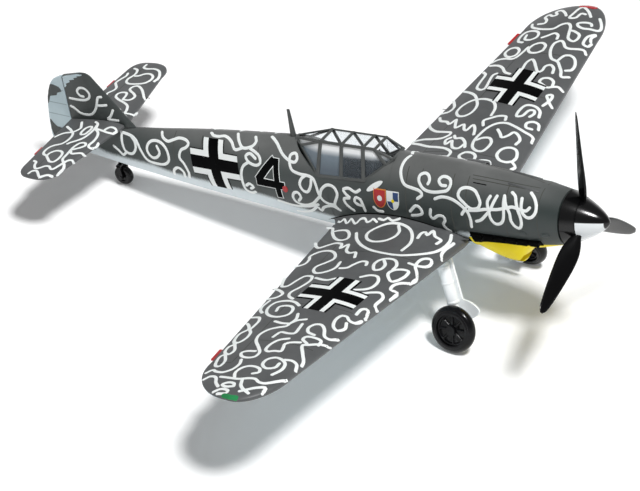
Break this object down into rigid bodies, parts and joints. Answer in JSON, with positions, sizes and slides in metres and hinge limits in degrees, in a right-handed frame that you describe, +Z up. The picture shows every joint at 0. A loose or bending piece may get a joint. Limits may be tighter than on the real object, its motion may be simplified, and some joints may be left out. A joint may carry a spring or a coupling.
{
  "type": "propeller plane model",
  "caption": "Small display model of a single-seat low-wing propeller fighter with a turning propeller, rolling wheels, framed canopy and worm-line camouflage.",
  "frame": {"origin": "centre of the bounding box on the floor under the wheels, the model standing on its three wheels", "axes": "+X to the nose, +Y to the port wing tip, +Z up"},
  "size_m": [0.1016, 0.1144, 0.0394],
  "materials": {
    "camouflage_grey": "satin moulded ABS, painted grey with pale worm lines",
    "pale_blue": "satin painted underside",
    "gear_white": "satin off-white plastic",
    "signal_yellow": "satin painted",
    "trim_red": "satin painted",
    "cockpit_grey": "matt",
    "instrument_black": "matt",
    "exhaust_black": "matt",
    "clear_glazing": "clear polystyrene",
    "frame_grey": "printed frame",
    "bush_brass": "turned",
    "shaft_steel": "drawn wire",
    "propeller_black": "gloss moulded",
    "tyre_black": "gloss moulded",
    "hub_black": "gloss moulded"
  },
  "bodies": {
    "airframe": {"fuselage_left": "camouflage_grey", "fuselage_right": "camouflage_grey", "nose_bulkhead": "cockpit_grey", "lower_cowl": "signal_yellow", "oil_cooler_core": "instrument_black", "exhaust_left": "exhaust_black", "exhaust_right": "exhaust_black", "air_intake": "camouflage_grey", "gun_barrels": "instrument_black", "belly_pan": "pale_blue", "wing_lower": "pale_blue", "wing_upper_left": "camouflage_grey", "wing_upper_right": "camouflage_grey", "radiator_left": "pale_blue", "radiator_right": "pale_blue", "aileron_tabs": "trim_red", "tailplane_left": "camouflage_grey", "tailplane_right": "camouflage_grey", "elevator_tabs": "trim_red", "fin": "camouflage_grey", "rudder": "pale_blue", "cockpit_tub": "cockpit_grey", "seat": "cockpit_grey", "instrument_panel": "instrument_black", "control_stick": "instrument_black", "gunsight": "instrument_black", "canopy_glass": "clear_glazing", "canopy_frame": "frame_grey", "antenna_mast": "camouflage_grey", "shaft_bush": "bush_brass", "gear_leg_left": "gear_white", "gear_leg_right": "gear_white", "gear_door_left": "gear_white", "gear_door_right": "gear_white", "main_axle_left": "shaft_steel", "main_axle_right": "shaft_steel", "tail_wheel_fork": "hub_black", "tail_wheel": "tyre_black", "tail_axle": "shaft_steel"},
    "propeller": {"spinner_cone": "propeller_black", "spinner_ring": "propeller_black", "propeller": "propeller_black", "prop_shaft": "shaft_steel", "shaft_collar": "shaft_steel"},
    "wheel_left": {"main_tyre_left": "tyre_black", "main_hub_left": "hub_black"},
    "wheel_right": {"main_tyre_right": "tyre_black", "main_hub_right": "hub_black"}
  },
  "joints": [
    {"name": "propeller_spin", "type": "hinge", "parent": "airframe", "child": "propeller", "pos_m": [0.04649, 0, 0.02257], "axis": [0.9823, 0, 0.1874], "continuous": true},
    {"name": "left_wheel_roll", "type": "hinge", "parent": "airframe", "child": "wheel_left", "pos_m": [0.03055, 0.0117, 0.00364], "axis": [-0.0517, 0.9613, 0.2708], "continuous": true},
    {"name": "right_wheel_roll", "type": "hinge", "parent": "airframe", "child": "wheel_right", "pos_m": [0.03055, -0.0117, 0.00364], "axis": [0.0517, 0.9613, -0.2708], "continuous": true}
  ]
}
